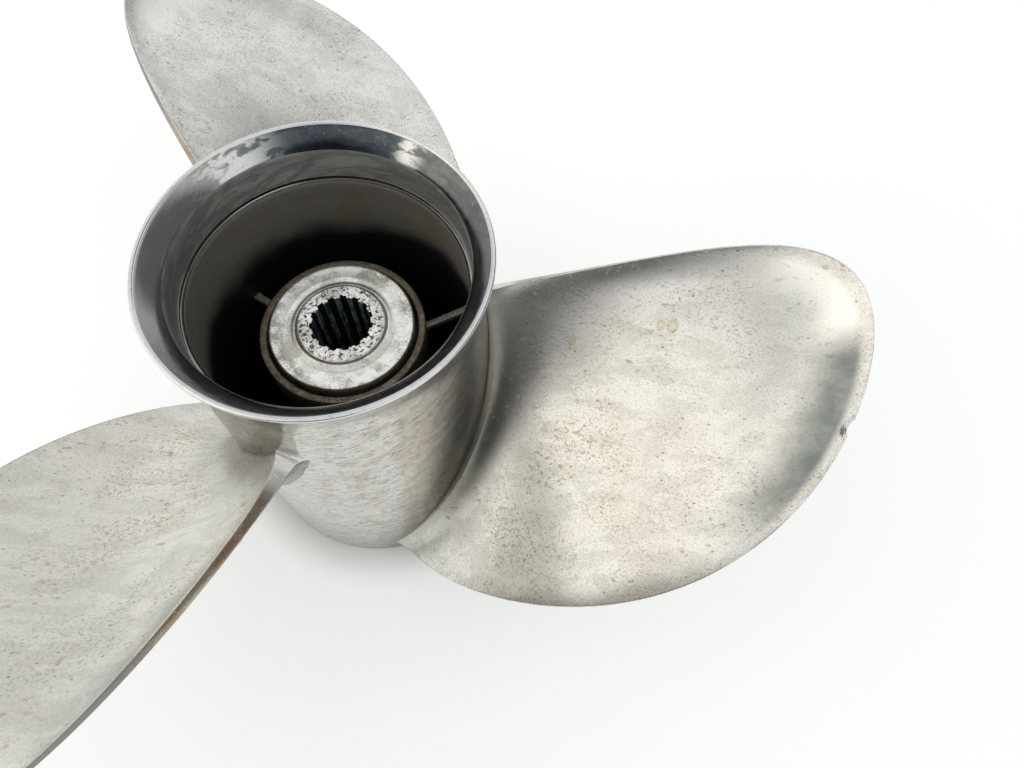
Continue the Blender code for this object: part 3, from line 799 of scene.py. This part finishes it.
def make_rib(index, finish):
    """Cast web between tube and barrel, which flares where it meets both."""
    inner = TUBE_RADIUS - RIB_SINK
    depths = [RIB_AFT_DEPTH, RIB_AFT_DEPTH + 0.3 * RIB_BEVEL, RIB_AFT_DEPTH + RIB_BEVEL]
    depths += [between(RIB_AFT_DEPTH, RIB_FRONT_DEPTH, share) for share in shares(16)[1:-1]]
    depths += [RIB_FRONT_DEPTH - RIB_BEVEL, RIB_FRONT_DEPTH]
    around = [(1, share) for share in shares(20)] + [(-1, share) for share in reversed(shares(20))]
    turn = Matrix.Rotation(math.radians(RIB_AZIMUTH + 360.0 * index / RIB_COUNT), 4, "Z")
    shape = bmesh.new()
    loops = []
    for depth in depths:
        end_gap = min(depth - RIB_AFT_DEPTH, RIB_FRONT_DEPTH - depth)
        bevel = RIB_BEVEL - math.sqrt(RIB_BEVEL ** 2 - max(0.0, RIB_BEVEL - end_gap) ** 2)
        outer = barrel_radius(depth) - BARREL_WALL + RIB_SINK
        loop = []
        for side, share in around:
            reach = min(share, 1.0 - share) * (outer - inner)
            near = max(0.0, 1.0 - reach / (3.0 * RIB_FILLET))
            half = RIB_THICKNESS / 2 + RIB_FILLET * near ** 2 - bevel
            place = Vector((between(inner, outer, share), side * half, level(depth)))
            loop.append(shape.verts.new(turn @ place))
        loops.append(loop)
    skin(shape, loops)
    for end in (loops[0], loops[-1]):
        shape.faces.new(end)
    add_piece(f"cast_rib_{index + 1}", shape, (finish,),
              "propeller_body", f"hub_rib_{index + 1}")


def make_rubber(finish):
    """Rubber cushion with bulging end faces."""
    inner = SLEEVE_RADIUS + RUBBER_GAP
    profile = []
    for depth, sign, across in ((RUBBER_DEPTH, 1.0, shares(8)),
                                (RUBBER_FRONT_DEPTH, -1.0, reversed(shares(8)))):
        for share in across:
            dip = RUBBER_DIP * (1.0 - math.sin(math.pi * share))
            profile.append((between(inner, RUBBER_RADIUS, share), depth + sign * dip))
    add_piece("rubber_ring", turned(profile), (finish,),
              "propeller_body", "rubber_cushion")


# ---------------------------------------------------------------- drive sleeve

def spline_outline(grow):
    """Bore outline as (radius, turn): teeth between grooves, cut back by grow at their tops."""
    pitch = math.tau / SPLINE_COUNT
    corners = [(SPLINE_ROOT_RADIUS if deep else SPLINE_TOP_RADIUS + grow, (tooth + share) * pitch)
               for tooth in range(SPLINE_COUNT) for share, deep in SPLINE_CORNERS]
    points = []
    for (radius, turn), (next_radius, next_turn) in zip(corners, corners[1:] + corners[:1]):
        next_turn += math.tau if next_turn < turn else 0.0
        points += [(between(radius, next_radius, share), between(turn, next_turn, share))
                   for share in shares(SPLINE_STEPS)[:-1]]
    return points


def make_sleeve(bore, face):
    """Splined sleeve whose aft end is a raised, chamfered boss."""
    inside = [(SPLINE_CHAMFER, SLEEVE_DEPTH), (0.0, SLEEVE_DEPTH + 2 * SPLINE_CHAMFER),
              (0.0, SLEEVE_FRONT_DEPTH - 2 * SPLINE_CHAMFER), (SPLINE_CHAMFER, SLEEVE_FRONT_DEPTH)]
    outside = [(SLEEVE_RADIUS - SLEEVE_CHAMFER, SLEEVE_FRONT_DEPTH),
               (SLEEVE_RADIUS, SLEEVE_FRONT_DEPTH - SLEEVE_CHAMFER),
               (SLEEVE_RADIUS, SLEEVE_DEPTH + SLEEVE_CHAMFER),
               (SLEEVE_RADIUS - SLEEVE_CHAMFER, SLEEVE_DEPTH)]
    shape = bmesh.new()
    rings = [[shape.verts.new(polar(radius, turn, level(depth)))
              for radius, turn in spline_outline(grow)] for grow, depth in inside]
    rings += [[shape.verts.new(polar(radius, turn, level(depth)))
               for _, turn in spline_outline(0.0)] for radius, depth in outside]
    skin(shape, rings + rings[:1], [0, 0, 0, 1, 1, 1, 1, 1])
    add_piece("spline_sleeve", shape, (bore, face),
              "drive_sleeve", "splined_sleeve", 30.0)


def make_disc(finish):
    """End disc, slightly dished towards a turned groove, with a rounded rim."""
    inner = SLEEVE_RADIUS - DISC_LAP
    crown = (DISC_RADIUS - DISC_ROUNDING, DISC_DEPTH + DISC_ROUNDING)
    profile = arc(crown, DISC_ROUNDING, 90, 0, 6)
    profile += [(DISC_RADIUS, DISC_FRONT_DEPTH - DISC_CHAMFER),
                (DISC_RADIUS - DISC_CHAMFER, DISC_FRONT_DEPTH),
                (inner, DISC_FRONT_DEPTH), (inner, SLEEVE_DEPTH + 2 * DISC_DROP)]
    for share in shares(6):
        depth = between(SLEEVE_DEPTH + DISC_DROP, DISC_DEPTH, (1.0 - math.cos(math.pi * share)) / 2)
        profile.append((inner + BOSS_INSET + BOSS_SLOPE * share, depth))
    for share in shares(12):
        sink = GROOVE_DEPTH * (1.0 - math.cos(math.tau * share)) / 2
        profile.append((GROOVE_RADIUS + (2.0 * share - 1.0) * GROOVE_REACH, DISC_DEPTH + sink))
    for share in shares(9)[1:-1]:
        sink = DISC_SWELL * math.sin(math.pi * share)
        profile.append((between(GROOVE_RADIUS + GROOVE_REACH, crown[0], share), DISC_DEPTH + sink))
    add_piece("end_disc", turned(profile), (finish,),
              "drive_sleeve", "sleeve_end_disc")


# ---------------------------------------------------------------- blades

def outward(radius):
    """Share of the way from the barrel to the tip."""
    return clamp((radius - RIM_RADIUS) / (TIP_RADIUS - RIM_RADIUS))


def edge_angles(radius):
    """Angles of the trailing and the leading edge at a radius."""
    out = outward(radius)
    return [TIP_ANGLE + (even + linear * out + square * out ** 2) * (1.0 - out ** bow) ** close
            for (even, linear, square), bow, close in (TRAILING_OUTLINE, LEADING_OUTLINE)]


def outline_tree():
    """The blade's outline seen along the shaft, for finding the nearest edge to a point."""
    tree = kdtree.KDTree(2 * OUTLINE_STEPS)
    for share in shares(OUTLINE_STEPS - 1):
        radius = between(RIM_RADIUS, TIP_RADIUS, math.sin(math.pi / 2 * share))
        for angle in edge_angles(radius):
            tree.insert(polar(radius, math.radians(angle)), 0)
    tree.balance()
    return tree


OUTLINE = outline_tree()


def edge_distance(radius, angle):
    """Distance to the nearest point of the outline, seen along the shaft."""
    return OUTLINE.find(polar(radius, math.radians(angle)))[2]


def pitch_slope(radius):
    """Angle of the section against the plane across the shaft."""
    return math.atan2(HELIX_RISE + HELIX_RISE_SLOPE * (radius - HELIX_RADIUS), radius)


def face_depth(radius, angle):
    """Depth of the raked helix that both edges lie on."""
    out = radius - HELIX_RADIUS
    rise = (HELIX_RISE + HELIX_RISE_SLOPE * out) * math.radians(angle)
    return HELIX_DEPTH - rise - RAKE * out - RAKE_CURVE * out ** 2


def section_point(radius, share, drop, shift):
    """A point of the section at a share of the chord and a drop below the helix, slid by shift."""
    angle = between(*edge_angles(radius), share)
    slope = pitch_slope(radius)
    slide = shift * (share * (1.0 + LEADING_FILLET_SHARE) - 1.0)
    across = drop * math.sin(slope) - slide * math.cos(slope)
    up = -drop * math.cos(slope) - slide * math.sin(slope)
    return polar(radius, math.radians(angle) + across / radius,
                 level(face_depth(radius, angle)) + up)


def hollow(share, chord, radius):
    """How far the aft face lies below the helix through its edges: camber and a raised rim."""
    distance = edge_distance(radius, between(*edge_angles(radius), share))
    reach = outward(radius)
    to_leading = smooth(0.25, 0.6, share)
    to_tip = smooth(0.70, 0.95, reach)
    rim = [between(trailing, leading * smooth(0.25, 0.7, reach), to_leading)
           for trailing, leading in zip(TRAILING_CURL, LEADING_CURL)]
    depth, width = [between(size, tip, to_tip) for size, tip in zip(rim, TIP_CURL)]
    curl = depth * (1.0 - math.exp(-distance / max(LEAST_CURL_REACH, width)))
    return CAMBER * chord * 4.0 * share * (1.0 - share) + curl


def along_chord(sizes, share):
    """A size given at the trailing edge, in the middle and at the leading edge, in between."""
    if share < FILLET_MIDDLE:
        return between(sizes[0], sizes[1], smooth(0.0, FILLET_MIDDLE, share))
    return between(sizes[1], sizes[2], smooth(FILLET_MIDDLE, 1.0, share))


def fillet_swell(height, reach, distance):
    """How far a section spreads at a distance from the barrel, for a fillet of one size."""
    inside = clamp(1.0 - distance / reach)
    return height * (1.0 - math.sqrt(1.0 - inside ** 2))


def face_swell(share, side, distance):
    height, reach = (FACE_FILLET, FACE_REACH) if side > 0 else (BACK_FILLET, BACK_FILLET)
    return fillet_swell(along_chord(height, share), along_chord(reach, share), distance)


def section_outline(radius):
    """Closed outline of a section as (along, drop, side), with its chord length.

    It runs round the aft face, the leading edge, the back and the flat trailing edge; side goes
    from 1 on the face to -1 on the back.
    """
    trailing, leading = edge_angles(radius)
    chord = radius * math.radians(trailing - leading) / math.cos(pitch_slope(radius))
    edge = between(*TRAILING_THICKNESS, outward(radius))
    belly = between(*BELLY_THICKNESS, outward(radius))
    bend = min(0.5 * MM, 0.22 * edge, 0.08 * chord)
    nose = min(LEADING_THICKNESS * 0.5, 0.2 * chord)
    face, back = [], []
    for step in range(1, CHORD_STEPS):
        share = 0.5 - 0.5 * math.cos(math.pi * step / CHORD_STEPS)
        along = bend + (chord - bend - nose) * share
        share = along / chord
        drop = hollow(share, chord, radius)
        thickness = between(edge, LEADING_THICKNESS, share) + belly * math.sin(math.pi * share)
        face.append((along, drop, 1.0))
        back.append((along, drop + thickness, -1.0))
    quarter = [math.pi / 2 * share for share in shares(EDGE_STEPS)]
    points = [(0.0, edge * 0.5, 0.0)]
    points += [(bend * (1.0 - math.cos(turn)), bend * (1.0 - math.sin(turn)), 1.0)
               for turn in quarter]
    points += face
    for share in shares(EDGE_STEPS * 2):
        turn = math.pi * share
        lower = LEADING_THICKNESS * 0.5 * (1.0 - math.cos(turn))
        points.append((chord - nose + nose * math.sin(turn), lower, math.cos(turn)))
    points += reversed(back)
    points += [(bend * (1.0 - math.sin(turn)), edge - bend * (1.0 - math.cos(turn)), -1.0)
               for turn in quarter]
    return points, chord


def section_loop(radius, distance):
    """The section at a radius as points in space, spread by its fillets near the barrel."""
    points, chord = section_outline(radius)
    shift = fillet_swell(EDGE_FILLET, EDGE_FILLET, distance)
    loop = []
    for along, drop, side in points:
        share = along / chord
        spread = side * face_swell(share, side, distance)
        slid = shift * (1.0 - FACE_SLIDE_LOSS * (1.0 + side))
        loop.append(section_point(radius, share, drop - spread, slid))
    return loop


def blade_rows():
    """Distances of the section rows from the barrel, close together at the root and the tip."""
    rows = [ROOT_REACH * share ** FILLET_CROWDING for share in shares(FILLET_STEPS)]
    span = TIP_RADIUS - RIM_RADIUS - ROOT_REACH
    for row in range(1, BLADE_STEPS + 1):
        left = 1.0 - row / (BLADE_STEPS + 0.4)
        rows.append(ROOT_REACH + span * (1.0 - left ** TIP_CROWDING))
    return rows


def blade_loops():
    """Rows of section points; near the root each point moves in to follow the barrel."""
    loops = []
    for distance in blade_rows():
        fade = 1.0 - outward(RIM_RADIUS + distance)
        known = {}
        row = []
        for index, point in enumerate(section_loop(RIM_RADIUS + distance, distance)):
            gap = (RIM_RADIUS - barrel_radius(RIM_HEIGHT - point.z)) * fade
            step = round(gap / FOLLOW_STEP)
            if step not in known:
                known[step] = section_loop(RIM_RADIUS + distance - step * FOLLOW_STEP, distance)
            row.append(known[step][index])
        loops.append(row)
    return loops


def drawn_in(point, distance):
    """The point, moved towards the shaft by a distance."""
    kept = 1.0 - distance / math.hypot(point.x, point.y)
    return Vector((point.x * kept, point.y * kept, point.z))


def nicked(point):
    """The point, drawn in where a nick is broken out of the outer edge."""
    off = (Vector((point.x, point.y, 0.0)) - polar(*NICK_PLACE)).length
    return drawn_in(point, NICK_DEPTH * max(0.0, 1.0 - off / NICK_SIZE) ** NICK_BLUNTNESS)


def make_blade(index, loops, finish):
    """A blade's skin through its rows of points; only the first blade has a nick."""
    if index == 0:
        loops = [[nicked(point) for point in loop] for loop in loops]
    loops = [[drawn_in(point, ROOT_SINK) for point in loops[0]]] + loops
    shape = bmesh.new()
    layers = [shape.verts.layers.float.new(name)
              for name in ("from_trailing", "from_edge", "from_root", "blade_angle")]
    spin = Matrix.Rotation(math.tau * index / BLADE_COUNT, 4, "Z")
    rings = [[shape.verts.new(spin @ point) for point in loop] for loop in loops]
    for ring, distance in zip(rings, [0.0] + blade_rows()):
        radius = RIM_RADIUS + distance
        points, chord = section_outline(radius)
        for vertex, (along, _, _) in zip(ring, points):
            angle = between(*edge_angles(radius), along / chord)
            near = edge_distance(radius, angle)
            for layer, value in zip(layers, (along / MM, near / MM, distance / MM, angle)):
                vertex[layer] = value
    skin(shape, rings)
    middle = len(rings[0]) // 2
    for ring in (rings[0], rings[-1]):
        for step in range(1, middle - 1):
            shape.faces.new((ring[step], ring[step + 1], ring[-step - 1], ring[-step]))
        shape.faces.new((ring[middle - 1], ring[middle], ring[-middle + 1]))
        shape.faces.new((ring[0], ring[1], ring[-1]))
    add_piece(f"cast_blade_{index + 1}", shape, (finish,),
              "propeller_body", f"blade_{index + 1}")


# ---------------------------------------------------------------- stage

def make_floor(finish):
    """Wide, flat, pale floor."""
    shape = bmesh.new()
    bmesh.ops.create_grid(shape, x_segments=FLOOR_STEPS, y_segments=FLOOR_STEPS, size=FLOOR_REACH,
                          matrix=Matrix.Translation((0.0, 0.0, FLOOR_HEIGHT)))
    make_object("floor", shape, (finish,))


# The studio is evenly pale, with a bright window and dark areas; each has a direction as
# azimuth and elevation in degrees, the angles from it where it fades in and is full, and a level
STUDIO_LEVEL = (0.85, 0.86, 0.86)
BACKDROP = (0.92, 0.93, 0.93)
STUDIO_AREAS = {
    "window": (-156.0, 36.0, 50.0, 14.0, (1.25, 1.21, 1.12)),
    "ceiling": (-112.0, 76.0, 26.0, 8.0, (0.74, 0.75, 0.75)),
    "dark corner": (-98.0, 8.0, 46.0, 8.0, (0.26, 0.27, 0.275)),
    "darkest corner": (-92.0, 12.0, 27.0, 16.0, (0.085, 0.09, 0.09)),
    "far wall": (22.0, 4.0, 48.0, 34.0, (0.20, 0.21, 0.215)),
}


def make_world():
    world = bpy.data.worlds.new("studio")
    world.use_nodes = True
    studio = Nodes(world.node_tree)
    towards = studio.add("ShaderNodeTexCoord").outputs["Generated"]
    sky = STUDIO_LEVEL
    for azimuth, elevation, outer, inner, tint in STUDIO_AREAS.values():
        lift = math.radians(elevation)
        centre = polar(math.cos(lift), math.radians(azimuth), math.sin(lift))
        near = studio.add("ShaderNodeVectorMath", (towards, centre), operation="DOT_PRODUCT")
        limits = [math.cos(math.radians(angle)) for angle in (outer, inner)]
        sky = studio.mix(studio.fade(near.outputs["Value"], *limits), sky, tint)
    # the object is lit by these areas, while the backdrop itself is plain
    seen = studio.add("ShaderNodeLightPath").outputs["Is Camera Ray"]
    studio.plug(studio.tree.nodes["Background"], [studio.mix(seen, sky, BACKDROP)])
    bpy.context.scene.world = world


def make_camera():
    data = bpy.data.cameras.new("camera")
    data.lens = LENS
    data.clip_start = 0.01
    camera = bpy.data.objects.new("camera", data)
    tilt = Matrix.Rotation(math.pi / 2 - CAMERA_PITCH, 4, "X")
    roll = Matrix.Rotation(CAMERA_ROLL, 4, "Z")
    camera.matrix_world = Matrix.Translation(CAMERA_PLACE) @ tilt @ roll
    bpy.context.scene.collection.objects.link(camera)
    bpy.context.scene.camera = camera


make_camera()
make_world()
bpy.context.scene.view_settings.view_transform = "Standard"

satin = barrel_finish()
polished = polished_finish()
make_ring((satin, polished, mouth_finish(), flare_finish()))
make_barrel((satin, bore_finish(), polished))
make_tube(rusty_finish())
dull = rib_finish()
for rib in range(RIB_COUNT):
    make_rib(rib, dull)
make_rubber(rubber_finish())
plated = plated_finish()
make_sleeve(oxide_finish(), plated)
make_disc(plated)
rows_of_points = blade_loops()
for blade in range(BLADE_COUNT):
    make_blade(blade, rows_of_points, blade_finish(blade))
make_floor(floor_finish())
